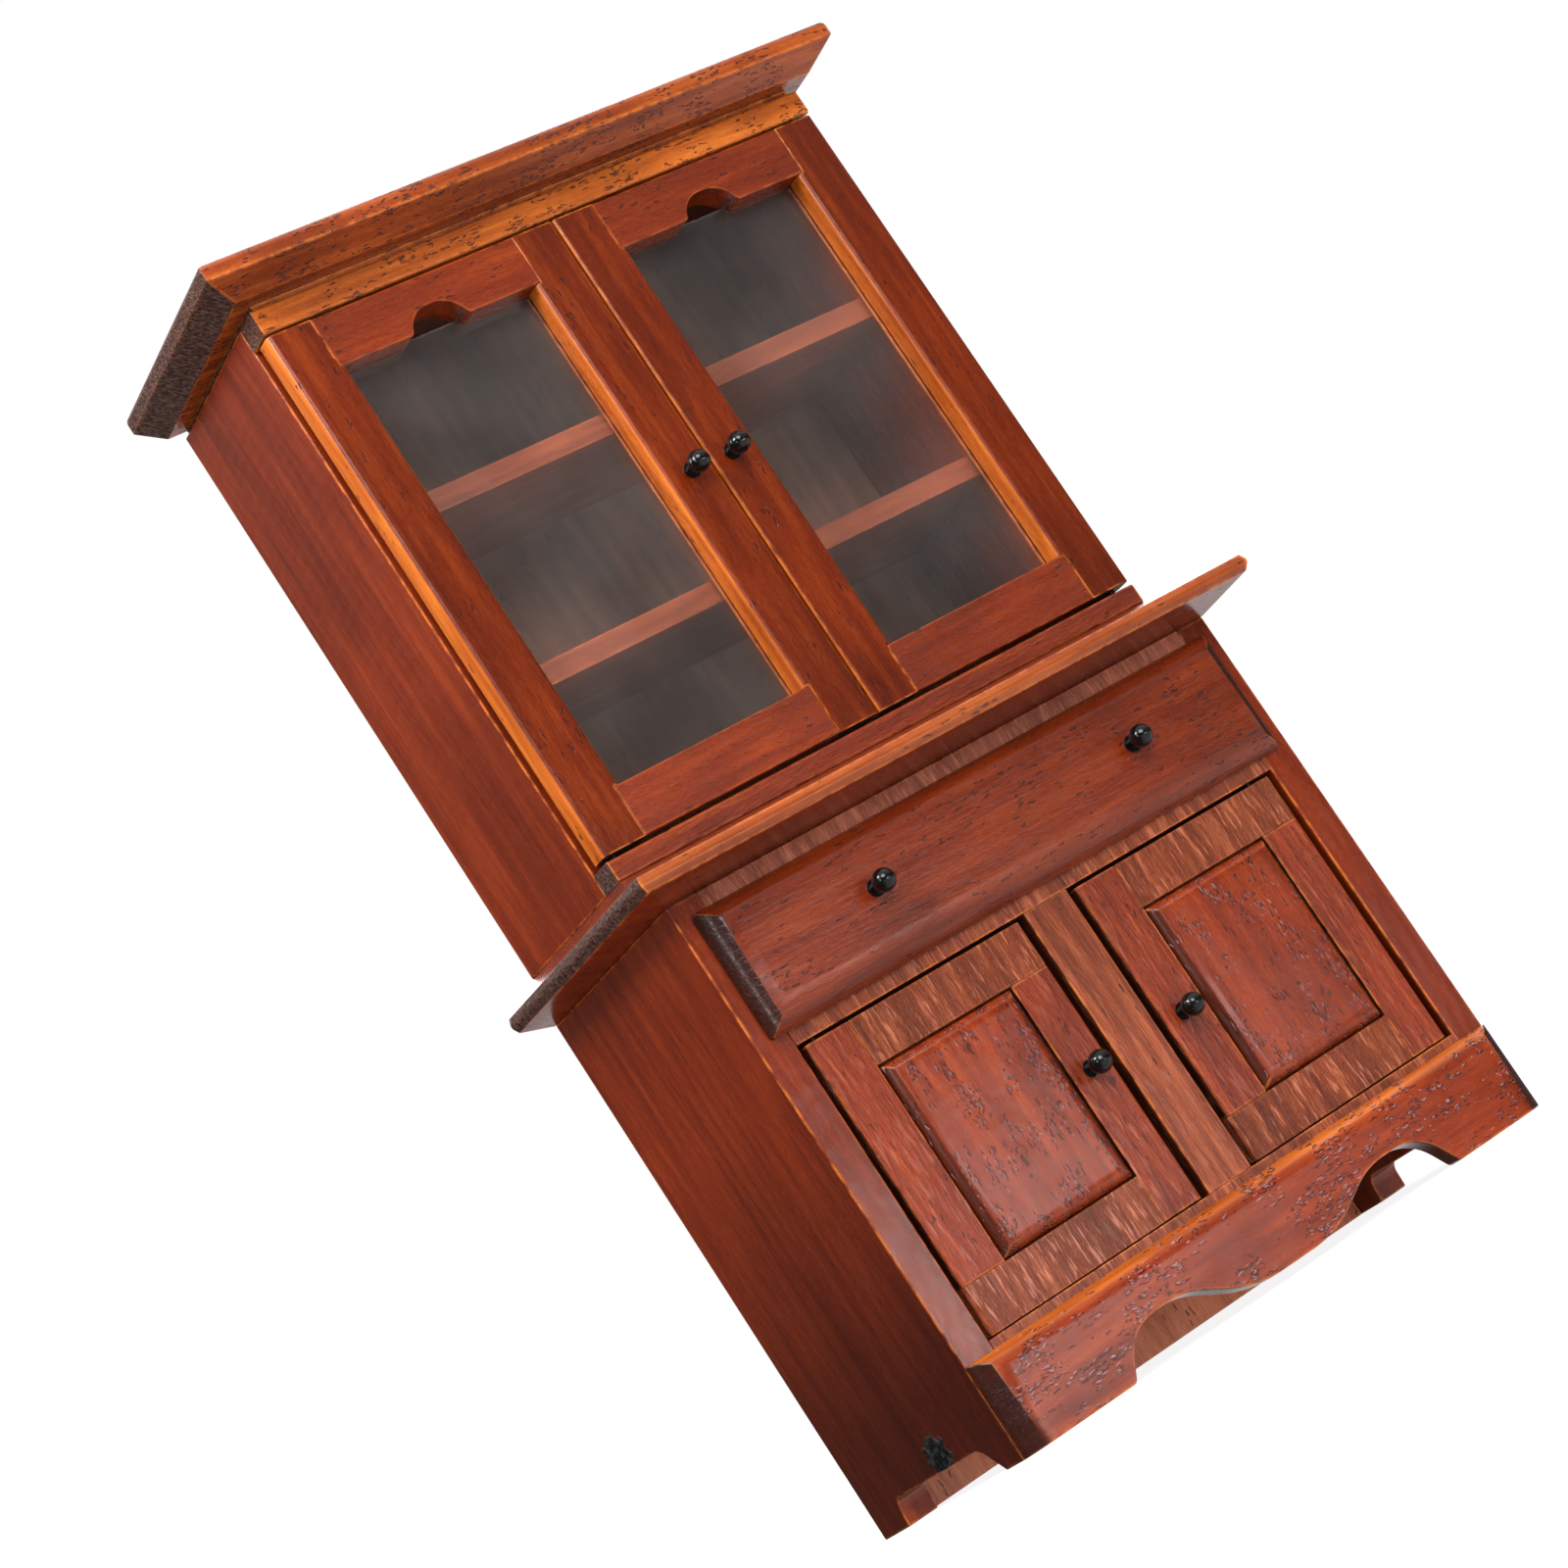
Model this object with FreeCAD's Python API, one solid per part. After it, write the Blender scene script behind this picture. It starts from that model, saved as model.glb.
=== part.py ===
import FreeCAD, Part
import math
import os

# Miniature china cabinet (dolls' house hutch) in 1:12 scale: wood, with two glazed
# doors over a drawer and two panelled doors.
# Millimetres.  +X is the cabinet's right, +Y its back, +Z up.  The origin is on the
# surface that the cabinet stands on, at the middle of its width and of its depth.

# ---- Driving dimensions -------------------------------------------------------------

# Overall
COUNTER_WIDTH = 100.0
OVERALL_DEPTH = 47.0
OVERALL_HEIGHT = 170.3
BACK_Y = OVERALL_DEPTH / 2
NOSE_Y = -OVERALL_DEPTH / 2

# Lower carcass
LOWER_WIDTH = 89.5
COUNTER_FRONT_OVERHANG = 7.4
LOWER_FACE_Y = NOSE_Y + COUNTER_FRONT_OVERHANG
LOWER_SIDE = 4.7
BOARD = 3.0
BACK_PANEL = 2.2
LOWER_OPENING_BOTTOM = 13.3
LOWER_OPENING_TOP = 53.5
DIVIDER_TOP = 56.1
LOWER_TOP = 74.9
STILE_WIDTH = 7.2
STILE_DEPTH = 4.0

# Apron and feet
APRON_THICKNESS = 2.5
APRON_TOP = 12.2
APRON_TOP_ROUND = 2.6
APRON_END_ROUND = 4.2
SIDE_ARCH_HEIGHT = 3.6
SIDE_FOOT_FRONT = 4.6
SIDE_FOOT_BACK = 7.4
SIDE_ARCH_RISE = 3.2
SIDE_ARCH_FRONT_ROUND = 3.4
SIDE_ARCH_BACK_ROUND = 1.6
SIDE_EDGE = 0.25
SCALLOP_CORNERS = [(28.1, 0.0, 0.9), (24.6, 5.65, 7.0), (15.9, 5.65, 12.0), (7.0, 1.2, 18.0)]

# Countertop
COUNTER_TOP = 81.4
NOSE_TOP = 78.5
NOSE_BOTTOM = 76.3
NOSE_BULGE = 0.35
NOSE_FLAT = 0.5
NOSE_UNDERCUT = 0.56
NOSE_ROUND = 0.8
NOSE_RIDGE = 0.3

# Upper carcass
UPPER_WIDTH = 88.0
UPPER_SETBACK = 7.1
UPPER_FACE_Y = LOWER_FACE_Y + UPPER_SETBACK
UPPER_SIDE = 4.0
FRONT_RAIL_DEPTH = 4.7
UPPER_SIDE_FRONT = UPPER_FACE_Y + FRONT_RAIL_DEPTH
UPPER_CARCASS_TOP = 164.7
UPPER_FLOOR = 84.0
UPPER_CEILING = 162.1
SHELF_THICKNESS = 3.1
SHELF_BOTTOMS = {"shelf_lower": 107.5, "shelf_upper": 133.2}
SHELF_SETBACK = 0.5
RAIL_TOP = 84.3
FRIEZE_BOTTOM = 161.2

# Cornice
CORNICE_OVERHANG = 5.9
CORNICE_LIP = 2.1
CORNICE_LIP_Z = 165.5
CORNICE_BAND_Z = 167.9
CORNICE_NECK = 0.8
CORNICE_ROUND = 1.0
CORNICE_EDGE = 0.25

# Glazed doors
GLAZED_BOTTOM = 84.9
GLAZED_TOP = 160.8
GLAZED_THICKNESS = 4.3
MEETING_GAP = 0.3
WINDOW_LEFT = 7.3
WINDOW_RIGHT = 36.7
GLAZED_RAIL = 7.1
REBATE = 0.8
PANE_THICKNESS = 0.8
PANE_SETBACK = 3.0
NOTCH_DEPTH = 3.1
NOTCH_HALF_BASE = 4.3
NOTCH_HALF_CROWN = 3.0
NOTCH_ROUND = 4.0
NOTCH_SHOULDER = 0.9
GLAZED_PIN_INSET = 2.2
HINGE_FRONT_ROUND = 0.8
HINGE_BACK_ROUND = 1.9
MEETING_BACK_ROUND = 0.3
WINDOW_ROUND = 0.7
GLAZED_EDGE = 0.25
NOTCH_FLARE = 2.0

# Panelled doors
PANELLED_BOTTOM = 13.5
PANELLED_TOP = 53.0
PANELLED_THICKNESS = 4.0
PANELLED_OUTER_X = 39.1
PANELLED_INNER_X = 4.8
PANELLED_LEFT_STILE = 6.7
PANELLED_RIGHT_STILE = 6.1
PANELLED_RAIL = 6.3
PANELLED_FRONT_ROUND = 0.5
PANELLED_BACK_ROUND = 1.2
PANEL_GROOVE = 0.8
PANEL_TONGUE = 1.4
PANEL_TONGUE_SETBACK = 1.5
PANEL_PROUD = 0.9
PANEL_CLEARANCE = 0.15
PANEL_ROUND = 2.0
PANELLED_PIN_INSET = 2.2

# Hinge pins
PIN_RADIUS = 0.6
PIN_CLEARANCE = 0.05
PIN_IN_DOOR = 3.0
PIN_IN_CARCASS = 1.8
PIN_HOLE_DEPTH = PIN_IN_CARCASS + 0.1

# Drawer
DRAWER_FRONT_WIDTH = 85.4
DRAWER_FRONT_BOTTOM = 55.3
DRAWER_FRONT_TOP = 72.7
DRAWER_FRONT_THICKNESS = 2.85
DRAWER_CLEARANCE = 0.25
DRAWER_BOX_BOTTOM = 56.3
DRAWER_BOX_TOP = 70.6
DRAWER_LENGTH = 34.0
DRAWER_WALL = 2.2
DRAWER_FLOOR = 1.6
DRAWER_ROUND = 3.7
DRAWER_CORNER = 0.8
DRAWER_FRONT_GAP = 0.1

# Knobs
KNOB_BALL_RADIUS = 1.5
KNOB_BALL_OUT = 2.5
KNOB_NECK_RADIUS = 0.8
KNOB_FLANGE_RADIUS = 1.15
KNOB_FLANGE = 0.35
KNOB_SHANK_RADIUS = 0.5
KNOB_SHANK = 2.2
GLAZED_KNOB = (3.3, 123.2)
DRAWER_KNOB = (21.5, 64.6)
DRAWER_KNOB_SHIFT = 0.5
PANELLED_KNOB = (7.9, 33.4)

EDGE_EASE = 0.4
PILLOW_EDGE = 0.3

# ---- Construction helpers -----------------------------------------------------------

PLANE_OF = {"X": (1, 2), "Y": (0, 2), "Z": (0, 1)}


def point(axis, level, a, b):
    """The point at in-plane coordinates a, b and at a level along the axis."""
    coordinates = [0.0, 0.0, 0.0]
    first, second = PLANE_OF[axis]
    coordinates["XYZ".index(axis)] = level
    coordinates[first] = a
    coordinates[second] = b
    return FreeCAD.Vector(*coordinates)


def rounded_corner(before, corner, after, radius):
    """Start, middle and end of the arc that rounds a corner of an outline."""
    into = (before - corner).normalize()
    out = (after - corner).normalize()
    half = into.getAngle(out) / 2
    reach = radius / math.tan(half)
    bisector = (into + out).normalize()
    centre = corner + bisector * (radius / math.sin(half))
    middle = centre - bisector * radius
    return corner + into * reach, middle, corner + out * reach


def outline(axis, level, points):
    """A closed wire.  Each point is (a, b) or (a, b, radius of the rounded corner)."""
    corners = [point(axis, level, p[0], p[1]) for p in points]
    radii = [p[2] if len(p) > 2 else 0.0 for p in points]
    count = len(corners)
    stops = []
    for i in range(count):
        if radii[i] > 0:
            after = corners[(i + 1) % count]
            stops.append(rounded_corner(corners[i - 1], corners[i], after, radii[i]))
        else:
            stops.append((corners[i],))
    edges = []
    for i in range(count):
        start, end = stops[i][-1], stops[(i + 1) % count][0]
        if start.distanceToPoint(end) > 1e-6:
            edges.append(Part.LineSegment(start, end).toShape())
        following = stops[(i + 1) % count]
        if len(following) == 3:
            edges.append(Part.Arc(*following).toShape())
    return Part.Wire(edges)


def prism(axis, low, high, points):
    """An outline extruded along X, Y or Z from low to high."""
    direction = point(axis, high, 0, 0) - point(axis, low, 0, 0)
    return Part.Face(outline(axis, low, points)).extrude(direction)


def rectangle(a_low, a_high, b_low, b_high, radius=0.0):
    corners = [(a_low, b_low), (a_high, b_low), (a_high, b_high), (a_low, b_high)]
    return [(a, b, radius) for a, b in corners]


def board(x_low, x_high, y_low, y_high, z_low, z_high):
    corner = FreeCAD.Vector(x_low, y_low, z_low)
    return Part.makeBox(x_high - x_low, y_high - y_low, z_high - z_low, corner)


def pillow_edge(low, high, face, back, width):
    """Outline of a thick board: square back edges and a wide round onto the face."""
    start = back - PILLOW_EDGE
    rise = start - face
    radius = (width ** 2 + rise ** 2) / (2 * rise)
    sweep = math.asin(width / radius) / 2
    across = radius * math.sin(sweep)
    down = radius * (1 - math.cos(sweep))
    near = low + width
    far = high - width
    return {
        "low": ((low, start), (near - across, face + down), (near, face)),
        "high": ((high, start), (far + across, face + down), (far, face)),
    }


def pillow_prism(axis, span, ends, faces, width):
    """The thick board's rounded section, between two ends, extruded along one axis."""
    low, high = ends
    face, back = faces
    arcs = pillow_edge(low, high, face, back, width)

    def at(pair):
        a, b = (pair[1], pair[0]) if axis == "X" else pair
        return point(axis, span[0], a, b)

    low_arc = [at(p) for p in arcs["low"]]
    high_arc = [at(p) for p in arcs["high"]]
    back_low = at((low, back))
    back_high = at((high, back))
    edges = [
        Part.LineSegment(back_low, low_arc[0]).toShape(),
        Part.Arc(*low_arc).toShape(),
        Part.LineSegment(low_arc[2], high_arc[2]).toShape(),
        Part.Arc(high_arc[2], high_arc[1], high_arc[0]).toShape(),
        Part.LineSegment(high_arc[0], back_high).toShape(),
        Part.LineSegment(back_high, back_low).toShape(),
    ]
    direction = point(axis, span[1], 0, 0) - point(axis, span[0], 0, 0)
    return Part.Face(Part.Wire(edges)).extrude(direction)


def upright(x, y, z_low, z_high, radius):
    return Part.makeCylinder(radius, z_high - z_low, FreeCAD.Vector(x, y, z_low))


def mirrored(shape):
    return shape.mirror(FreeCAD.Vector(0, 0, 0), FreeCAD.Vector(1, 0, 0))


def tidy(shape):
    """A cut or common as one clean solid."""
    return shape.removeSplitter().Solids[0]


def save(node, shape):
    solids = shape.Solids
    assert shape.isValid() and solids, node
    shape.exportStep(os.path.join("parts", node + ".step"))
    print(node, len(solids), round(sum(s.Volume for s in solids), 2))


# ---- Lower carcass ------------------------------------------------------------------

LOWER_X = LOWER_WIDTH / 2
LOWER_INNER_X = LOWER_X - LOWER_SIDE
LOWER_BACK_FACE = BACK_Y - BACK_PANEL


def lower_side():
    """The right side panel, with the arch that leaves its front and back feet."""
    plan = rectangle(LOWER_INNER_X, LOWER_X, LOWER_FACE_Y, BACK_Y, SIDE_EDGE)
    blank = prism("Z", 0.0, LOWER_TOP, plan)
    front = LOWER_FACE_Y + SIDE_FOOT_FRONT
    back = BACK_Y - SIDE_FOOT_BACK
    arch = [
        (front, 0.0, 0.0),
        (front + SIDE_ARCH_RISE, SIDE_ARCH_HEIGHT, SIDE_ARCH_FRONT_ROUND),
        (back - SIDE_EDGE, SIDE_ARCH_HEIGHT, SIDE_ARCH_BACK_ROUND),
        (back, 0.0, 0.0),
        (back, -1.0),
        (front, -1.0),
    ]
    return tidy(blank.cut(prism("X", LOWER_INNER_X - 1, LOWER_X + 1, arch)))


def pin_hole(x, y, z_low, z_high):
    return upright(x, y, z_low, z_high, PIN_RADIUS + PIN_CLEARANCE)


PANELLED_PIN_X = PANELLED_OUTER_X - PANELLED_PIN_INSET
PANELLED_PIN_Y = LOWER_FACE_Y + PANELLED_THICKNESS / 2


def shelf_board(z_low, z_high, front):
    return board(-LOWER_INNER_X, LOWER_INNER_X, front, LOWER_BACK_FACE, z_low, z_high)


def lower_bottom_board():
    blank = shelf_board(LOWER_OPENING_BOTTOM - BOARD, LOWER_OPENING_BOTTOM, LOWER_FACE_Y)
    hole_floor = PANELLED_BOTTOM - PIN_HOLE_DEPTH
    for x in (-PANELLED_PIN_X, PANELLED_PIN_X):
        blank = blank.cut(pin_hole(x, PANELLED_PIN_Y, hole_floor, LOWER_OPENING_BOTTOM))
    return tidy(blank)


def drawer_divider():
    blank = shelf_board(LOWER_OPENING_TOP, DIVIDER_TOP, LOWER_FACE_Y)
    hole_roof = PANELLED_TOP + PIN_HOLE_DEPTH
    for x in (-PANELLED_PIN_X, PANELLED_PIN_X):
        blank = blank.cut(pin_hole(x, PANELLED_PIN_Y, LOWER_OPENING_TOP, hole_roof))
    return tidy(blank)


def centre_stile():
    half = STILE_WIDTH / 2
    face = rectangle(-half, half, LOWER_FACE_Y, LOWER_FACE_Y + STILE_DEPTH, SIDE_EDGE)
    return prism("Z", LOWER_OPENING_BOTTOM, LOWER_OPENING_TOP, face)


def apron():
    """Applied front board with a scalloped lower edge and rounded top and ends."""
    left_half = [(-x, z, radius) for x, z, radius in SCALLOP_CORNERS]
    right_half = list(reversed(SCALLOP_CORNERS))
    ends = [(LOWER_X, 0.0), (LOWER_X, APRON_TOP), (-LOWER_X, APRON_TOP)]
    edge = [(-LOWER_X, 0.0)] + left_half + right_half + ends
    front = LOWER_FACE_Y - APRON_THICKNESS
    faces = (front, LOWER_FACE_Y)
    blank = prism("Y", front, LOWER_FACE_Y, edge)
    width = (-LOWER_X, LOWER_X)
    rounded_top = pillow_prism("X", width, (-APRON_TOP, APRON_TOP), faces, APRON_TOP_ROUND)
    rounded_ends = pillow_prism("Z", (-1.0, APRON_TOP + 1), width, faces, APRON_END_ROUND)
    return tidy(blank.common(rounded_top).common(rounded_ends))


def countertop():
    """Slab that slopes up from a convex nose on three sides, with mitred corners."""
    half = COUNTER_WIDTH / 2
    upper = UPPER_WIDTH / 2
    middle = (NOSE_TOP + NOSE_BOTTOM) / 2

    def nose(direction, out, inner, underside):
        """Edge profile from the top of the slope round the nose to the underside."""
        return [
            (inner, COUNTER_TOP),
            (out - direction * NOSE_BULGE, NOSE_TOP, NOSE_RIDGE),
            (out, middle + NOSE_FLAT / 2, NOSE_ROUND),
            (out, middle - NOSE_FLAT / 2, NOSE_ROUND),
            (out - direction * NOSE_UNDERCUT, NOSE_BOTTOM, NOSE_RIDGE),
            (underside, LOWER_TOP),
        ]

    front = nose(-1, NOSE_Y, UPPER_FACE_Y, LOWER_FACE_Y)
    section = front + [(BACK_Y, LOWER_TOP), (BACK_Y, COUNTER_TOP)]
    right = nose(1, half, upper, LOWER_X)
    left = [(-p[0],) + p[1:] for p in reversed(right)]
    elevation = right + left
    along_x = prism("X", -half - 1, half + 1, section)
    along_y = prism("Y", NOSE_Y - 1, BACK_Y + 1, elevation)
    return tidy(along_x.common(along_y))


def build_lower_carcass():
    right = lower_side()
    save("lower_side_right", right)
    save("lower_side_left", mirrored(right))
    save("lower_bottom_board", lower_bottom_board())
    save("drawer_divider", drawer_divider())
    save("lower_top_board", shelf_board(LOWER_TOP - BOARD, LOWER_TOP, LOWER_FACE_Y))
    width = (-LOWER_INNER_X, LOWER_INNER_X)
    save("lower_back_panel", board(*width, LOWER_BACK_FACE, BACK_Y, 0.0, LOWER_TOP))
    save("centre_stile", centre_stile())
    save("apron", apron())
    save("countertop", countertop())


# ---- Upper carcass ------------------------------------------------------------------

UPPER_X = UPPER_WIDTH / 2
UPPER_INNER_X = UPPER_X - UPPER_SIDE
UPPER_BACK_FACE = BACK_Y - BACK_PANEL
GLAZED_PIN_X = UPPER_X - GLAZED_PIN_INSET
GLAZED_PIN_Y = UPPER_FACE_Y + GLAZED_THICKNESS / 2


def upper_side():
    plan = rectangle(UPPER_INNER_X, UPPER_X, UPPER_SIDE_FRONT, BACK_Y, SIDE_EDGE)
    return prism("Z", COUNTER_TOP, UPPER_CARCASS_TOP, plan)


def inner_board(z_low, z_high, setback):
    front = UPPER_SIDE_FRONT + setback
    return board(-UPPER_INNER_X, UPPER_INNER_X, front, UPPER_BACK_FACE, z_low, z_high)


def front_rail(z_low, z_high, hole_low, hole_high):
    """Rail glued across the front edges of the sides, with the hinge pins' holes."""
    section = [
        (UPPER_FACE_Y, z_low, EDGE_EASE),
        (UPPER_SIDE_FRONT, z_low),
        (UPPER_SIDE_FRONT, z_high),
        (UPPER_FACE_Y, z_high, EDGE_EASE),
    ]
    rail = prism("X", -UPPER_X, UPPER_X, section)
    for side in (-1, 1):
        rail = rail.cut(pin_hole(side * GLAZED_PIN_X, GLAZED_PIN_Y, hole_low, hole_high))
    return tidy(rail)


def cornice():
    """Moulded top: neck, lip, slope and rounded band on the front and both ends."""

    def moulding(direction, face):
        """Edge profile from the neck out to the lip, up the slope and round the top."""
        neck = face - direction * CORNICE_NECK
        lip = face + direction * CORNICE_LIP
        band = face + direction * CORNICE_OVERHANG
        return [
            (neck, UPPER_CARCASS_TOP),
            (neck, CORNICE_LIP_Z),
            (lip, CORNICE_LIP_Z, CORNICE_EDGE),
            (band, CORNICE_BAND_Z, CORNICE_EDGE),
            (band, OVERALL_HEIGHT, CORNICE_ROUND),
        ]

    front = moulding(-1, UPPER_FACE_Y)
    section = front + [(BACK_Y, OVERALL_HEIGHT), (BACK_Y, UPPER_CARCASS_TOP)]
    right = moulding(1, UPPER_X)
    left = [(-p[0],) + p[1:] for p in reversed(right)]
    half = UPPER_X + CORNICE_OVERHANG
    along_x = prism("X", -half - 1, half + 1, section)
    along_y = prism("Y", UPPER_FACE_Y - CORNICE_OVERHANG - 1, BACK_Y + 1, right + left)
    return tidy(along_x.common(along_y))


def build_upper_carcass():
    right = upper_side()
    save("upper_side_right", right)
    save("upper_side_left", mirrored(right))
    save("upper_bottom_board", inner_board(COUNTER_TOP, UPPER_FLOOR, 0.0))
    save("upper_top_board", inner_board(UPPER_CEILING, UPPER_CARCASS_TOP, 0.0))
    for node, low in SHELF_BOTTOMS.items():
        save(node, inner_board(low, low + SHELF_THICKNESS, SHELF_SETBACK))
    back = board(-UPPER_INNER_X, UPPER_INNER_X, UPPER_BACK_FACE, BACK_Y, COUNTER_TOP, UPPER_CARCASS_TOP)
    save("upper_back_panel", back)
    hole_floor = GLAZED_BOTTOM - PIN_HOLE_DEPTH
    hole_roof = GLAZED_TOP + PIN_HOLE_DEPTH
    save("upper_bottom_rail", front_rail(COUNTER_TOP, RAIL_TOP, hole_floor, RAIL_TOP))
    save("frieze_rail", front_rail(FRIEZE_BOTTOM, UPPER_CARCASS_TOP, FRIEZE_BOTTOM, hole_roof))
    save("cornice", cornice())


# ---- Knobs and pins -----------------------------------------------------------------


def knob(x, face_y, z):
    """A turned knob, flange, neck and ball, whose shank enters the face behind it."""
    meets_neck = KNOB_BALL_OUT - math.sqrt(KNOB_BALL_RADIUS ** 2 - KNOB_NECK_RADIUS ** 2)

    def at(radius, out):
        return FreeCAD.Vector(x + radius, face_y - out, z)

    profile = [at(0, -KNOB_SHANK), at(KNOB_SHANK_RADIUS, -KNOB_SHANK), at(KNOB_SHANK_RADIUS, 0)]
    profile += [at(KNOB_FLANGE_RADIUS, 0), at(KNOB_FLANGE_RADIUS, KNOB_FLANGE)]
    profile += [at(KNOB_NECK_RADIUS, KNOB_FLANGE), at(KNOB_NECK_RADIUS, meets_neck)]
    tip = at(0, KNOB_BALL_OUT + KNOB_BALL_RADIUS)
    edges = [Part.LineSegment(a, b).toShape() for a, b in zip(profile, profile[1:])]
    edges.append(Part.Arc(profile[-1], at(KNOB_BALL_RADIUS, KNOB_BALL_OUT), tip).toShape())
    edges.append(Part.LineSegment(tip, profile[0]).toShape())
    face = Part.Face(Part.Wire(edges))
    turned = face.revolve(FreeCAD.Vector(x, 0, z), FreeCAD.Vector(0, 1, 0), 360)
    return turned.Solids[0]


def knob_hole(x, face_y, z):
    start = FreeCAD.Vector(x, face_y - 1, z)
    return Part.makeCylinder(KNOB_SHANK_RADIUS, KNOB_SHANK + 1, start, FreeCAD.Vector(0, 1, 0))


def hinge_pins(x, y, z_low, z_high):
    """The two pins of one door, half in the door's edge and half in the carcass."""
    lower = upright(x, y, z_low - PIN_IN_CARCASS, z_low + PIN_IN_DOOR, PIN_RADIUS)
    upper = upright(x, y, z_high - PIN_IN_DOOR, z_high + PIN_IN_CARCASS, PIN_RADIUS)
    return Part.makeCompound([lower, upper])


# ---- Glazed doors -------------------------------------------------------------------

GLAZED_BACK_Y = UPPER_FACE_Y + GLAZED_THICKNESS
GLAZED_INNER_X = MEETING_GAP / 2
WINDOW_BOTTOM = GLAZED_BOTTOM + GLAZED_RAIL
WINDOW_TOP = GLAZED_TOP - GLAZED_RAIL
PANE_FRONT = UPPER_FACE_Y + PANE_SETBACK
PANE_BACK = PANE_FRONT + PANE_THICKNESS


def pane():
    """The right door's pane, held in the grooves round the window."""
    left, right = WINDOW_LEFT - REBATE, WINDOW_RIGHT + REBATE
    bottom, top = WINDOW_BOTTOM - REBATE, WINDOW_TOP + REBATE
    return prism("Y", PANE_FRONT, PANE_BACK, rectangle(left, right, bottom, top))


def stile_lip(edge, into):
    """The grooved moulding on a stile between the rails, from its shoulder to the window."""
    shoulder = edge - into * REBATE
    front = prism("Z", WINDOW_BOTTOM, WINDOW_TOP, [
        (shoulder, UPPER_FACE_Y),
        (edge, UPPER_FACE_Y, WINDOW_ROUND),
        (edge, PANE_FRONT),
        (shoulder, PANE_FRONT),
    ])
    back = prism("Z", WINDOW_BOTTOM, WINDOW_TOP, [
        (shoulder, PANE_BACK),
        (edge, PANE_BACK),
        (edge, GLAZED_BACK_Y),
        (shoulder, GLAZED_BACK_Y),
    ])
    return front, back


def glazed_hinge_stile():
    """Outer stile of the right door.  Its outer edge is rounded to turn past the side."""
    shoulder = WINDOW_RIGHT + REBATE
    plan = [
        (shoulder, UPPER_FACE_Y),
        (UPPER_X, UPPER_FACE_Y, HINGE_FRONT_ROUND),
        (UPPER_X, GLAZED_BACK_Y, HINGE_BACK_ROUND),
        (shoulder, GLAZED_BACK_Y),
    ]
    stile = prism("Z", GLAZED_BOTTOM, GLAZED_TOP, plan)
    stile = stile.fuse(stile_lip(WINDOW_RIGHT, -1))
    pins = hinge_pins(GLAZED_PIN_X, GLAZED_PIN_Y, GLAZED_BOTTOM, GLAZED_TOP)
    return tidy(stile.cut(pins))


def glazed_meeting_stile():
    """Inner stile of the right door, with the knob's hole."""
    shoulder = WINDOW_LEFT - REBATE
    plan = rectangle(GLAZED_INNER_X, shoulder, UPPER_FACE_Y, GLAZED_BACK_Y)
    plan[0] = (GLAZED_INNER_X, UPPER_FACE_Y, EDGE_EASE)
    plan[3] = (GLAZED_INNER_X, GLAZED_BACK_Y, MEETING_BACK_ROUND)
    stile = prism("Z", GLAZED_BOTTOM, GLAZED_TOP, plan)
    stile = stile.fuse(stile_lip(WINDOW_LEFT, 1))
    return tidy(stile.cut(knob_hole(GLAZED_KNOB[0], UPPER_FACE_Y, GLAZED_KNOB[1])))


def glazed_rail(z_low, z_high):
    """A rail of the right door before its window edge is worked, eased at the front."""
    section = [
        (UPPER_FACE_Y, z_low, GLAZED_EDGE),
        (GLAZED_BACK_Y, z_low),
        (GLAZED_BACK_Y, z_high),
        (UPPER_FACE_Y, z_high, GLAZED_EDGE),
    ]
    return prism("X", WINDOW_LEFT - REBATE, WINDOW_RIGHT + REBATE, section).cut(pane())


def notch():
    """The finger notch in the top rail: a flat arc with eased shoulders."""
    centre = (WINDOW_LEFT + WINDOW_RIGHT) / 2
    crown = WINDOW_TOP + NOTCH_DEPTH
    below = WINDOW_TOP - 1
    return prism("Y", UPPER_FACE_Y - 1, GLAZED_BACK_Y + 1, [
        (centre - NOTCH_HALF_BASE - NOTCH_FLARE, below),
        (centre - NOTCH_HALF_BASE - NOTCH_FLARE, WINDOW_TOP),
        (centre - NOTCH_HALF_BASE, WINDOW_TOP, NOTCH_SHOULDER),
        (centre - NOTCH_HALF_CROWN, crown, NOTCH_ROUND),
        (centre + NOTCH_HALF_CROWN, crown, NOTCH_ROUND),
        (centre + NOTCH_HALF_BASE, WINDOW_TOP, NOTCH_SHOULDER),
        (centre + NOTCH_HALF_BASE + NOTCH_FLARE, WINDOW_TOP),
        (centre + NOTCH_HALF_BASE + NOTCH_FLARE, below),
    ])


def build_glazed_doors():
    pieces = {
        "hinge_stile": glazed_hinge_stile(),
        "meeting_stile": glazed_meeting_stile(),
        "top_rail": tidy(glazed_rail(WINDOW_TOP, GLAZED_TOP).cut(notch())),
        "bottom_rail": tidy(glazed_rail(GLAZED_BOTTOM, WINDOW_BOTTOM)),
        "pane": pane(),
        "knob": knob(GLAZED_KNOB[0], UPPER_FACE_Y, GLAZED_KNOB[1]),
        "pins": hinge_pins(GLAZED_PIN_X, GLAZED_PIN_Y, GLAZED_BOTTOM, GLAZED_TOP),
    }
    for name, shape in pieces.items():
        save("glazed_right_" + name, shape)
        save("glazed_left_" + name, mirrored(shape))


# ---- Panelled doors -----------------------------------------------------------------

PANELLED_BACK_Y = LOWER_FACE_Y + PANELLED_THICKNESS


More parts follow.
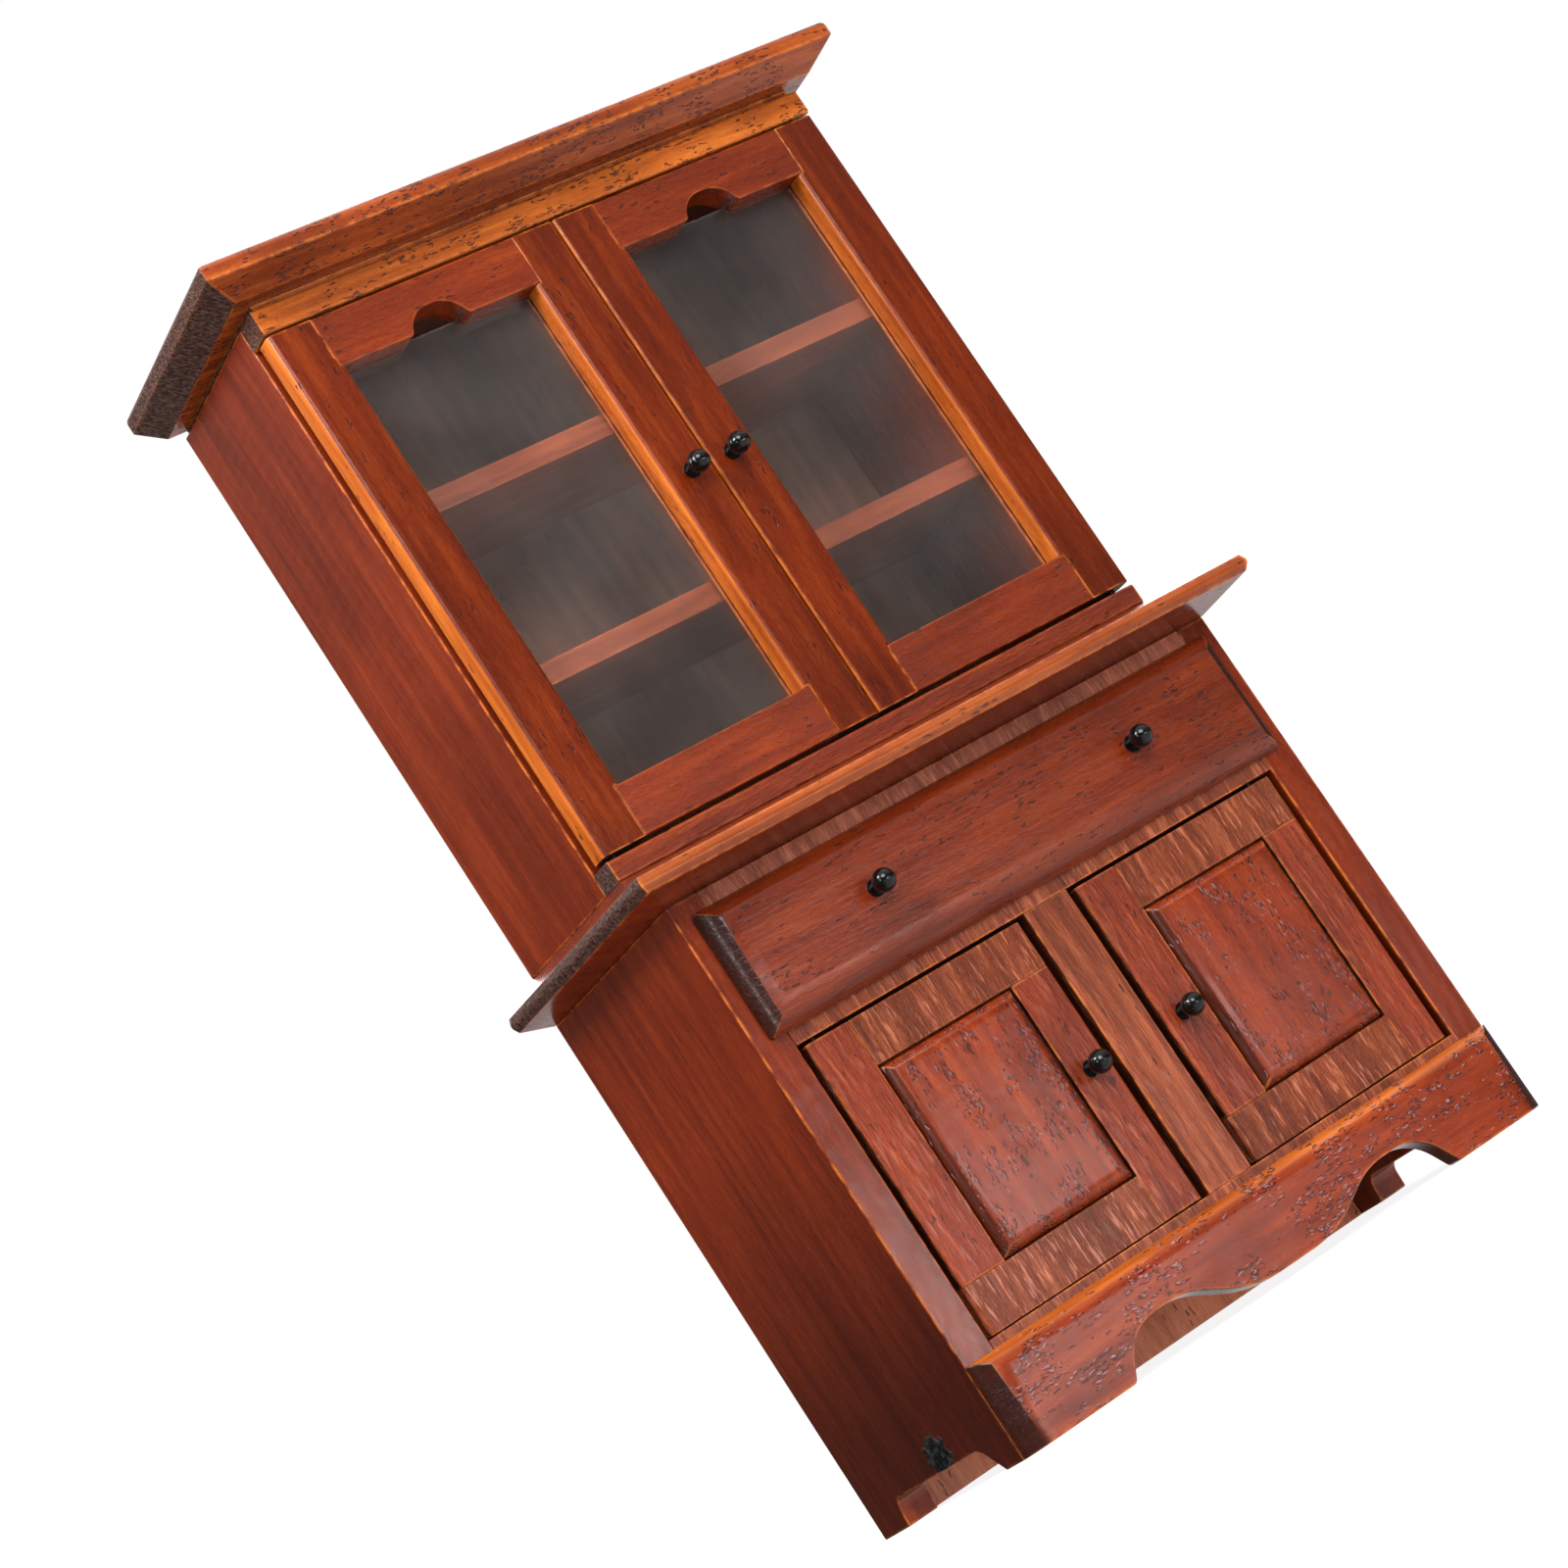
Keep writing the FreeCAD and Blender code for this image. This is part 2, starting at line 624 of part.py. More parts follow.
def raised_panel(x_low, x_high, z_low, z_high):
    """A panel with a tongue in the frame's grooves and a rounded, raised field."""
    tongue_front = LOWER_FACE_Y + PANEL_TONGUE_SETBACK
    tongue_back = tongue_front + PANEL_TONGUE
    width = (x_low - PANEL_GROOVE, x_high + PANEL_GROOVE)
    height = (z_low - PANEL_GROOVE, z_high + PANEL_GROOVE)
    tongue = board(*width, tongue_front, tongue_back, *height)
    field_front = LOWER_FACE_Y - PANEL_PROUD
    left, right = x_low + PANEL_CLEARANCE, x_high - PANEL_CLEARANCE
    bottom, top = z_low + PANEL_CLEARANCE, z_high - PANEL_CLEARANCE
    plan = [
        (left, field_front, PANEL_ROUND),
        (right, field_front, PANEL_ROUND),
        (right, tongue_front),
        (left, tongue_front),
    ]
    section = [
        (field_front, bottom, PANEL_ROUND),
        (tongue_front, bottom),
        (tongue_front, top),
        (field_front, top, PANEL_ROUND),
    ]
    field = prism("Z", bottom, top, plan).common(prism("X", left, right, section))
    return tidy(tongue.fuse(field))


def build_panelled_door(side, x_low, x_high):
    """One door.  Its four frame pieces follow each other round, each butting the next."""
    low, high = PANELLED_BOTTOM, PANELLED_TOP
    left_edge = x_low + PANELLED_LEFT_STILE
    right_edge = x_high - PANELLED_RIGHT_STILE
    bottom_edge = low + PANELLED_RAIL
    top_edge = high - PANELLED_RAIL
    panel = raised_panel(left_edge, right_edge, bottom_edge, top_edge)
    hinge_x = math.copysign(PANELLED_PIN_X, x_low + x_high)
    knob_x = math.copysign(PANELLED_KNOB[0], hinge_x)
    pins = hinge_pins(hinge_x, PANELLED_PIN_Y, low, high)
    drilled = knob_hole(knob_x, LOWER_FACE_Y, PANELLED_KNOB[1])
    frame = {
        "left_stile": (x_low, left_edge, bottom_edge, high),
        "top_rail": (left_edge, x_high, top_edge, high),
        "right_stile": (right_edge, x_high, low, top_edge),
        "bottom_rail": (x_low, right_edge, low, bottom_edge),
    }
    outer = prism("Z", low, high, [
        (x_low, LOWER_FACE_Y, PANELLED_FRONT_ROUND),
        (x_high, LOWER_FACE_Y, PANELLED_FRONT_ROUND),
        (x_high, PANELLED_BACK_Y, PANELLED_BACK_ROUND),
        (x_low, PANELLED_BACK_Y, PANELLED_BACK_ROUND),
    ])
    for name, (x0, x1, z0, z1) in frame.items():
        piece = board(x0, x1, LOWER_FACE_Y, PANELLED_BACK_Y, z0, z1).common(outer)
        piece = piece.cut(panel).cut(pins).cut(drilled)
        save("panelled_" + side + "_" + name, tidy(piece))
    save("panelled_" + side + "_panel", panel)
    save("panelled_" + side + "_knob", knob(knob_x, LOWER_FACE_Y, PANELLED_KNOB[1]))
    save("panelled_" + side + "_pins", pins)


# ---- Drawer -------------------------------------------------------------------------

DRAWER_FRONT_BACK = LOWER_FACE_Y - DRAWER_FRONT_GAP
DRAWER_FACE_Y = LOWER_FACE_Y - DRAWER_FRONT_THICKNESS
DRAWER_HALF = LOWER_INNER_X - DRAWER_CLEARANCE
DRAWER_END = DRAWER_FRONT_BACK + DRAWER_LENGTH


def drawer_front():
    half = DRAWER_FRONT_WIDTH / 2
    width = (-half, half)
    height = (DRAWER_FRONT_BOTTOM, DRAWER_FRONT_TOP)
    faces = (DRAWER_FACE_Y, DRAWER_FRONT_BACK)
    across = pillow_prism("Z", height, width, faces, DRAWER_ROUND)
    upwards = pillow_prism("X", width, height, faces, DRAWER_ROUND)
    corners = prism(
        "Y", DRAWER_FACE_Y - 1, DRAWER_FRONT_BACK + 1,
        rectangle(-half, half, DRAWER_FRONT_BOTTOM, DRAWER_FRONT_TOP, DRAWER_CORNER))
    front = across.common(upwards).common(corners)
    for side in (-1, 1):
        knob_x = side * DRAWER_KNOB[0] + DRAWER_KNOB_SHIFT
        front = front.cut(knob_hole(knob_x, DRAWER_FACE_Y, DRAWER_KNOB[1]))
    return tidy(front)


def build_drawer():
    inner = DRAWER_HALF - DRAWER_WALL
    floor_top = DRAWER_BOX_BOTTOM + DRAWER_FLOOR
    back_face = DRAWER_END - DRAWER_WALL
    save("drawer_front", drawer_front())
    side = board(inner, DRAWER_HALF, DRAWER_FRONT_BACK, DRAWER_END, DRAWER_BOX_BOTTOM, DRAWER_BOX_TOP)
    save("drawer_side_right", side)
    save("drawer_side_left", mirrored(side))
    width = (-inner, inner)
    save("drawer_back", board(*width, back_face, DRAWER_END, DRAWER_BOX_BOTTOM, DRAWER_BOX_TOP))
    save("drawer_bottom", board(*width, DRAWER_FRONT_BACK, back_face, DRAWER_BOX_BOTTOM, floor_top))
    for name, sign in (("left", -1), ("right", 1)):
        knob_x = sign * DRAWER_KNOB[0] + DRAWER_KNOB_SHIFT
        save("drawer_knob_" + name, knob(knob_x, DRAWER_FACE_Y, DRAWER_KNOB[1]))


os.makedirs("parts", exist_ok=True)
build_lower_carcass()
build_upper_carcass()
build_glazed_doors()
build_panelled_door("left", -PANELLED_OUTER_X, -PANELLED_INNER_X)
build_panelled_door("right", PANELLED_INNER_X, PANELLED_OUTER_X)
build_drawer()
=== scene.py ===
import math

import bpy
from mathutils import Matrix, Vector

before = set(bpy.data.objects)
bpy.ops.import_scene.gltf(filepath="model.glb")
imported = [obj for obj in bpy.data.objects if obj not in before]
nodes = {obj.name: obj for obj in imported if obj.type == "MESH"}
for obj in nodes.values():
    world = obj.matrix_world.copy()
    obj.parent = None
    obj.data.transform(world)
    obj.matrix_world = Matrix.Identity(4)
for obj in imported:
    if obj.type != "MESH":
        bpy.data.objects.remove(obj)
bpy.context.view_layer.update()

MM = 0.001

# ---- Colours, linear ----------------------------------------------------------------


def srgb(r, g, b):
    """A linear colour from 0 to 255 sRGB values."""
    def linear(value):
        value /= 255
        return value / 12.92 if value <= 0.04045 else ((value + 0.055) / 1.055) ** 2.4
    return (linear(r), linear(g), linear(b), 1.0)


TONES = {
    "door": (srgb(86, 24, 2), srgb(106, 33, 4), srgb(132, 50, 8)),
    "stile": (srgb(74, 19, 1), srgb(92, 27, 2), srgb(116, 43, 6)),
    "side": (srgb(84, 25, 8), srgb(104, 34, 11), srgb(122, 45, 16)),
    # Also used as painted light on the windows' side faces and as a painted highlight on the
    # countertop's nose.
    "orange": (srgb(132, 56, 10), srgb(166, 80, 18), srgb(204, 112, 38)),
    "cornice": (srgb(98, 36, 12), srgb(130, 54, 18), srgb(162, 80, 30)),
    "rough": (srgb(86, 32, 12), srgb(120, 50, 21), srgb(160, 82, 46)),
    "panel": (srgb(94, 28, 6), srgb(118, 39, 10), srgb(146, 58, 18)),
    "drawer": (srgb(80, 24, 6), srgb(100, 33, 9), srgb(122, 47, 14)),
    # Used only as painted shade, on the sides of gaps and the flanks of raised panels.
    "dark": (srgb(34, 12, 7), srgb(46, 17, 10), srgb(66, 26, 14)),
    "inner": (srgb(84, 54, 42), srgb(104, 70, 55), srgb(124, 86, 68)),
    "sawn": (srgb(118, 56, 38), srgb(146, 76, 53), srgb(174, 100, 74)),
    "raw": (srgb(160, 86, 58), srgb(192, 112, 80), srgb(214, 138, 104)),
    "shelf": (srgb(98, 40, 16), srgb(122, 54, 23), srgb(148, 76, 38)),
}
END_GRAIN = srgb(96, 70, 60)
END_DARK = srgb(26, 9, 6)
END_SMOOTH = srgb(34, 12, 8)
# Pale orange of the edges: partly bare wood where the stain has gone, partly a painted
# highlight.
EDGE_WEAR_AND_HIGHLIGHT = srgb(222, 120, 40)
# Dark of the pores, also used as painted shade in the furrows of sawn ridges.
PORE_AND_FURROW_SHADE = srgb(46, 17, 15)
# Painted highlight beside the pores.
PORE_PAINTED_GLINT = srgb(176, 128, 128)
# Painted highlight on the crests of sawn ridges.
CREST_HIGHLIGHT = srgb(204, 128, 96)
CHIP_DARK = srgb(10, 10, 10)
CHIP_LIGHT = srgb(74, 78, 76)

# How far apart two nodes' grain patterns are taken, in millimetres for each seed.
SEED_STEP = (37.3, 11.9, 23.7)
# The scale of the pores along and across the grain, and where the painted highlights beside
# them lie.
PORE_CELLS = (0.62, 3.6)
PORE_LIT_SIDE = (0.05, 0.08, -0.10)
# The centre of the saw's arcs, in grain coordinates in millimetres.
SAW_CENTRE = (40.0, -95.0, 0.0)
# End grain less crusty than this is polished smooth.
POLISHED_CRUST = 0.2
POLISHED_HEIGHT = 0.12
# Painted shade: the colour darkens between these heights above the floor.
FOOT_SHADE_LOW = 4 * MM
FOOT_SHADE_HIGH = 56 * MM

# ---- Node building ------------------------------------------------------------------


class Tree:
    """Adds nodes to the node tree of one material or world and links them."""

    def __init__(self, owner):
        self.owner = owner
        owner.use_nodes = True
        self.nodes = owner.node_tree.nodes
        self.links = owner.node_tree.links
        self.shader = self.nodes.get("Principled BSDF")

    def put(self, socket, value):
        if isinstance(value, bpy.types.NodeSocket):
            self.links.new(value, socket)
        else:
            socket.default_value = value

    def coordinates(self, kind):
        return self.nodes.new("ShaderNodeTexCoord").outputs[kind]

    def split(self, vector):
        """The X, Y and Z outputs of a vector."""
        n = self.nodes.new("ShaderNodeSeparateXYZ")
        self.put(n.inputs[0], vector)
        return n.outputs

    def math(self, operation, a, b=0.0, c=0.0):
        n = self.nodes.new("ShaderNodeMath")
        n.operation = operation
        self.put(n.inputs[0], a)
        self.put(n.inputs[1], b)
        self.put(n.inputs[2], c)
        return n.outputs[0]

    def vector(self, operation, *values):
        """A vector calculation on the values, which are vectors."""
        n = self.nodes.new("ShaderNodeVectorMath")
        n.operation = operation
        for socket, value in zip(n.inputs, values):
            self.put(socket, value)
        return n

    def scaled(self, colour, scale):
        n = self.vector("SCALE", colour)
        self.put(n.inputs["Scale"], scale)
        return n.outputs[0]

    def noise(self, vector, scale, detail=2.0, roughness=0.5, distortion=0.0):
        n = self.nodes.new("ShaderNodeTexNoise")
        self.put(n.inputs["Vector"], vector)
        n.inputs["Scale"].default_value = scale
        n.inputs["Detail"].default_value = detail
        n.inputs["Roughness"].default_value = roughness
        n.inputs["Distortion"].default_value = distortion
        return n.outputs["Fac"]

    def cells(self, vector):
        """The distance to the nearest scattered point, and a random value for that point."""
        n = self.nodes.new("ShaderNodeTexVoronoi")
        self.put(n.inputs["Vector"], vector)
        n.inputs["Scale"].default_value = 1.0
        split = self.nodes.new("ShaderNodeSeparateColor")
        self.put(split.inputs[0], n.outputs["Color"])
        return n.outputs["Distance"], split.outputs[0]

    def warp(self, vector, scale, amount):
        """The coordinates moved about by a noise."""
        n = self.nodes.new("ShaderNodeTexNoise")
        self.put(n.inputs["Vector"], vector)
        n.inputs["Scale"].default_value = scale
        return self.vector("MULTIPLY_ADD", n.outputs["Color"], (amount,) * 3, vector).outputs[0]

    def stretch(self, vector, along, across):
        """The grain coordinates with their own scale along and across the grain."""
        return self.vector("MULTIPLY", vector, (along, across, across)).outputs[0]

    def span(self, value, low, high, to_low=0.0, to_high=1.0, shape="SMOOTHSTEP"):
        n = self.nodes.new("ShaderNodeMapRange")
        n.interpolation_type = shape
        self.put(n.inputs["Value"], value)
        n.inputs["From Min"].default_value = low
        n.inputs["From Max"].default_value = high
        n.inputs["To Min"].default_value = to_low
        n.inputs["To Max"].default_value = to_high
        return n.outputs["Result"]

    def ramp(self, value, colours, places):
        n = self.nodes.new("ShaderNodeValToRGB")
        elements = n.color_ramp.elements
        while len(elements) < len(colours):
            elements.new(0.5)
        for element, colour, place in zip(elements, colours, places):
            element.position = place
            element.color = colour
        self.put(n.inputs["Fac"], value)
        return n.outputs["Color"]

    def mix(self, share, a, b):
        n = self.nodes.new("ShaderNodeMix")
        n.data_type = "RGBA"
        self.put(n.inputs["Factor"], share)
        self.put(n.inputs[6], a)
        self.put(n.inputs[7], b)
        return n.outputs[2]

    def bump(self, height, distance, strength=1.0, normal=None):
        n = self.nodes.new("ShaderNodeBump")
        n.inputs["Strength"].default_value = strength
        n.inputs["Distance"].default_value = distance
        self.put(n.inputs["Height"], height)
        if normal is not None:
            self.put(n.inputs["Normal"], normal)
        return n.outputs["Normal"]


def grain_coordinates(tree, grain, seed):
    """Object coordinates in millimetres with the grain's axis first, moved by the seed,
    how far the face looks along the grain, and the face's direction."""
    place = tree.split(tree.coordinates("Object"))
    order = {"X": (0, 1, 2), "Y": (1, 0, 2), "Z": (2, 0, 1)}[grain]
    joined = tree.nodes.new("ShaderNodeCombineXYZ")
    for socket, source in zip(joined.inputs, order):
        tree.put(socket, place[source])
    moved = tuple(seed * step for step in SEED_STEP)
    point = tree.vector("MULTIPLY_ADD", joined.outputs[0], (1 / MM,) * 3, moved)
    normal = tree.split(tree.coordinates("Normal"))
    return point.outputs[0], tree.math("ABSOLUTE", normal[order[0]]), normal


def edge_mask(tree, radius):
    """1 on sharp edges and 0 away from them."""
    bevel = tree.nodes.new("ShaderNodeBevel")
    bevel.samples = 4
    bevel.inputs["Radius"].default_value = radius
    geometry = tree.nodes.new("ShaderNodeNewGeometry")
    dot = tree.vector("DOT_PRODUCT", bevel.outputs["Normal"], geometry.outputs["Normal"])
    return tree.span(dot.outputs["Value"], 0.998, 0.90)


# ---- The layers of stained wood -----------------------------------------------------


def stain(tree, point, figure, fibre, tone):
    """The stain's colour, which follows the figure, the fibres and slow clouds."""
    cloud = tree.noise(tree.stretch(point, 0.05, 0.07), 1.0, 2.0)
    colour = tree.ramp(figure, TONES[tone], (0.28, 0.50, 0.76))
    tint = tree.span(cloud, 0.3, 0.7, 0.84, 1.12)
    shade = tree.math("MULTIPLY", tint, tree.span(fibre, 0.25, 0.75, 0.84, 1.14))
    return tree.scaled(colour, shade)


def other_faces(tree, colour, figure, normal, facing_tone_and_shading):
    """Another tone on the faces that look along an axis, both ways unless it has a sign.  On
    some faces it is the wood's own tone, on others painted shade, on others painted light.
    """
    axis, low, high, strength, tone = facing_tone_and_shading
    facing = normal[axis[-1]]
    if axis[0] != "+":
        facing = tree.math("ABSOLUTE", facing)
    share = tree.math("MULTIPLY", tree.span(facing, low, high), strength)
    return tree.mix(share, colour, tree.ramp(figure, TONES[tone], (0.3, 0.5, 0.72)))


def open_pores(tree, colour, point, pores, painted_glint):
    """Dark dashes in flocks, with painted highlights beside them.  Returns the colour and where
    the dashes are.
    """
    bent = tree.warp(point, 0.9, 0.9)
    flock = tree.noise(tree.stretch(point, 0.16, 0.30), 1.0, 2.0)
    share = tree.math("MULTIPLY", tree.span(flock, 0.44, 0.62, 0.03, 0.62), pores)
    near, chance = tree.cells(tree.stretch(bent, *PORE_CELLS))
    kept = tree.math("GREATER_THAN", share, chance)
    dashes = tree.math("MULTIPLY", tree.span(near, 0.56, 0.42), kept)
    colour = tree.mix(tree.math("MULTIPLY", dashes, 0.8), colour, PORE_AND_FURROW_SHADE)
    if painted_glint:
        # Painted highlight: pale glints beside the pores.
        aside = tree.vector("ADD", bent, PORE_LIT_SIDE).outputs[0]
        lit_near, lit_chance = tree.cells(tree.stretch(aside, *PORE_CELLS))
        lit_kept = tree.math("GREATER_THAN", share, lit_chance)
        lit = tree.math("MULTIPLY", tree.span(lit_near, 0.38, 0.24), lit_kept)
        colour = tree.mix(tree.math("MULTIPLY", lit, painted_glint), colour, PORE_PAINTED_GLINT)
    return colour, dashes


def worn_and_highlit_edges(tree, colour, point, ended, rim, wear_and_highlight):
    """Pale orange on the edges, partly bare wood where the stain has gone and partly a painted
    highlight, less so on end grain.
    """
    broken = tree.span(tree.noise(point, 0.55, 3.0), 0.34, 0.62)
    worn_and_highlit = tree.math("MULTIPLY", edge_mask(tree, rim * MM), tree.math("MULTIPLY", broken, wear_and_highlight))
    worn_and_highlit = tree.math("MULTIPLY", worn_and_highlit, tree.span(ended, 0.2, 0.8, 1.0, 0.15))
    return tree.mix(worn_and_highlit, colour, EDGE_WEAR_AND_HIGHLIGHT)


def sawn_ridges(tree, colour, height, point, ridges):
    """Ridges along the grain, with painted shade in the furrows and a painted highlight on the
    crests.
    """
    ridge = tree.noise(tree.stretch(point, 0.28, 1.9), 1.0, 4.0, 0.6)
    raised = tree.math("MULTIPLY", tree.span(ridge, 0.36, 0.60), 5.5 * ridges)
    # Painted shade in the furrows and a painted highlight on the crests.
    furrow_shade = tree.span(ridge, 0.46, 0.30, 0.0, 0.55 * ridges)
    crest_highlight = tree.span(ridge, 0.55, 0.70, 0.0, 0.4 * ridges)
    colour = tree.mix(crest_highlight, tree.mix(furrow_shade, colour, PORE_AND_FURROW_SHADE), CREST_HIGHLIGHT)
    return colour, tree.math("ADD", height, raised)


def saw_arcs(tree, height, point, seed, saw):
    """Shallow arcs left by a round saw blade."""
    arc = tree.nodes.new("ShaderNodeTexWave")
    arc.wave_type = "RINGS"
    arc.rings_direction = "SPHERICAL"
    back = tuple(-seed * step - centre for step, centre in zip(SEED_STEP, SAW_CENTRE))
    tree.put(arc.inputs["Vector"], tree.vector("ADD", point, back).outputs[0])
    arc.inputs["Scale"].default_value = 0.17
    arc.inputs["Distortion"].default_value = 1.2
    arc.inputs["Detail"].default_value = 2.0
    return tree.math("ADD", height, tree.math("MULTIPLY", arc.outputs["Fac"], 0.4 * saw))


def paint_patch(tree, colour, height, point, place, size):
    """A ragged patch of crumpled black paint."""
    gap = tree.vector("DISTANCE", tree.coordinates("Object"), place).outputs["Value"]
    rag = tree.math("MULTIPLY", tree.noise(point, 0.7, 3.0), 4.5 * MM)
    painted = tree.span(tree.math("ADD", gap, rag), size + 2.3 * MM, size + 1.9 * MM)
    black = tree.ramp(tree.noise(point, 1.3, 3.0), (CHIP_DARK, CHIP_LIGHT), (0.42, 0.62))
    folds = tree.math("MULTIPLY", tree.noise(point, 0.8, 3.0), 9.0)
    crumpled = tree.math("MULTIPLY", painted, folds)
    return tree.mix(painted, colour, black), tree.math("ADD", height, crumpled)


def painted_foot_shade(tree, colour, normal, foot_shade):
    """Painted shade that darkens the colour towards the floor, on the faces that look sideways.
    """
    level = tree.split(tree.coordinates("Object"))["Z"]
    loss = tree.span(level, FOOT_SHADE_LOW, FOOT_SHADE_HIGH, 1.0 - foot_shade, 0.0)
    sideways = tree.span(tree.math("ABSOLUTE", normal["X"]), 0.6, 0.9)
    kept = tree.math("SUBTRACT", 1.0, tree.math("MULTIPLY", loss, sideways))
    return tree.scaled(colour, kept)


def varnish(tree, fibre, ended, gloss, crust):
    """The varnish's roughness and the gloss that is the same everywhere."""
    rough = tree.span(fibre, 0.2, 0.8, gloss - 0.05, gloss + 0.10)
    rough = tree.math("ADD", rough, tree.math("MULTIPLY", ended, 0.3 * crust))
    tree.put(tree.shader.inputs["Roughness"], rough)
    tree.shader.inputs["Coat Weight"].default_value = 0.12
    tree.shader.inputs["Coat Roughness"].default_value = 0.2
    tree.shader.inputs["IOR"].default_value = 1.45
    tree.shader.inputs["Specular IOR Level"].default_value = 0.36


# ---- Materials ----------------------------------------------------------------------


def wood(name, grain, tone, seed, pores=0.5, ridges=0.0, saw=0.0, wear_and_highlight=0.85, gloss=0.3,
         end=(0.72, 0.95), crust=1.0, rim=0.45, painted_glint=0.0, foot_shade=1.0, facing_tone_and_shading=None, chip=None):
    """Stained wood.  pores, ridges and saw are the strengths of the dark dashes, of the
    sawn ridges along the grain, and of the saw's arcs across it; wear_and_highlight is how
    far the edges turn pale, partly bare wood where the stain has gone and partly a painted
    highlight; gloss is the roughness of the varnish.  end is how far a face looks along the
    grain before it counts as end grain, crust how rough the end grain is, and rim how wide
    the pale edges are in millimetres.  facing_tone_and_shading is the axis, the limits and
    the strength of the faces that have another tone, and that tone, which on some faces is
    painted shade and on others painted light.  chip is the place and the size of a patch of
    black paint, painted_glint how far the painted highlights beside the pores show, and
    foot_shade how dark the painted shade is at floor level."""
    tree = Tree(bpy.data.materials.new(name))
    point, facing_end, normal = grain_coordinates(tree, grain, seed)
    polished = crust < POLISHED_CRUST
    figure = tree.noise(tree.stretch(point, 0.045, 0.55), 1.0, 6.0, 0.6, 0.4)
    fibre = tree.noise(tree.stretch(point, 0.9, 7.0), 1.0, 3.0, 0.65)
    grainy = tree.noise(tree.stretch(point, 0.6, 2.4), 1.0, 3.0, 0.7)
    ended = tree.span(facing_end, *end)
    varnish(tree, fibre, ended, gloss, crust)

    colour = stain(tree, point, figure, fibre, tone)
    if facing_tone_and_shading:
        colour = other_faces(tree, colour, figure, normal, facing_tone_and_shading)
    dashes = 0.0
    if pores:
        colour, dashes = open_pores(tree, colour, point, pores, painted_glint)
    end_light = END_SMOOTH if polished else END_GRAIN
    end_colour = tree.ramp(grainy, (END_DARK, end_light), (0.42, 0.66))
    colour = tree.mix(tree.math("MULTIPLY", ended, 0.92), colour, end_colour)
    # Pale edges: partly bare wood, partly a painted highlight.
    colour = worn_and_highlit_edges(tree, colour, point, ended, rim, wear_and_highlight)

    sunk = tree.math("MULTIPLY", dashes, 2.2)
    height = tree.math("SUBTRACT", tree.math("MULTIPLY", fibre, 0.4), sunk)
    pits = tree.math("MULTIPLY", grainy, tree.math("MULTIPLY", ended, 7.0 * crust))
    height = tree.math("ADD", height, pits)
    if polished:
        smooth = tree.span(ended, 0.0, 1.0, 1.0, POLISHED_HEIGHT)
        height = tree.math("MULTIPLY", height, smooth)
    if ridges:
        colour, height = sawn_ridges(tree, colour, height, point, ridges)
    if saw:
        height = saw_arcs(tree, height, point, seed, saw)
    if chip:
        colour, height = paint_patch(tree, colour, height, point, *chip)
    # Painted shade, darker towards the floor on the sideways faces.
    if foot_shade < 1.0:
        colour = painted_foot_shade(tree, colour, normal, foot_shade)
    tree.put(tree.shader.inputs["Base Color"], colour)
    low = tree.bump(tree.noise(point, 0.16, 2.0), 0.25 * MM, 0.5)
    tree.put(tree.shader.inputs["Normal"], tree.bump(height, 0.05 * MM, 0.9, low))
    return tree.owner


def black_gloss(name, seed):
    """Lacquered black knob with uneven lacquer and a few dust specks."""
    tree = Tree(bpy.data.materials.new(name))
    point = grain_coordinates(tree, "Y", seed)[0]
    speck = tree.span(tree.noise(point, 5.0, 1.0), 0.74, 0.79)
    tree.put(tree.shader.inputs["Base Color"], tree.mix(speck, srgb(9, 8, 8), srgb(60, 54, 50)))
    lacquer = tree.noise(point, 0.9, 2.0)
    tree.put(tree.shader.inputs["Roughness"], tree.span(lacquer, 0.3, 0.7, 0.10, 0.20))
    tree.put(tree.shader.inputs["Normal"], tree.bump(lacquer, 0.12 * MM, 0.7))
    tree.shader.inputs["Specular IOR Level"].default_value = 0.32
    tree.shader.inputs["Coat Weight"].default_value = 0.08
    tree.shader.inputs["Coat Roughness"].default_value = 0.06
    return tree.owner


def wire(name):
    """Drawn steel wire."""
    tree = Tree(bpy.data.materials.new(name))
    point = grain_coordinates(tree, "Z", 3)[0]
    drawn = tree.noise(tree.stretch(point, 0.4, 9.0), 1.0, 3.0)
    steel = tree.ramp(drawn, (srgb(30, 26, 24), srgb(62, 54, 48)), (0.3, 0.7))
    tree.put(tree.shader.inputs["Base Color"], steel)
    tree.put(tree.shader.inputs["Roughness"], tree.span(drawn, 0.2, 0.8, 0.25, 0.45))
    tree.put(tree.shader.inputs["Normal"], tree.bump(drawn, 0.01 * MM))
    tree.shader.inputs["Metallic"].default_value = 1.0
    return tree.owner


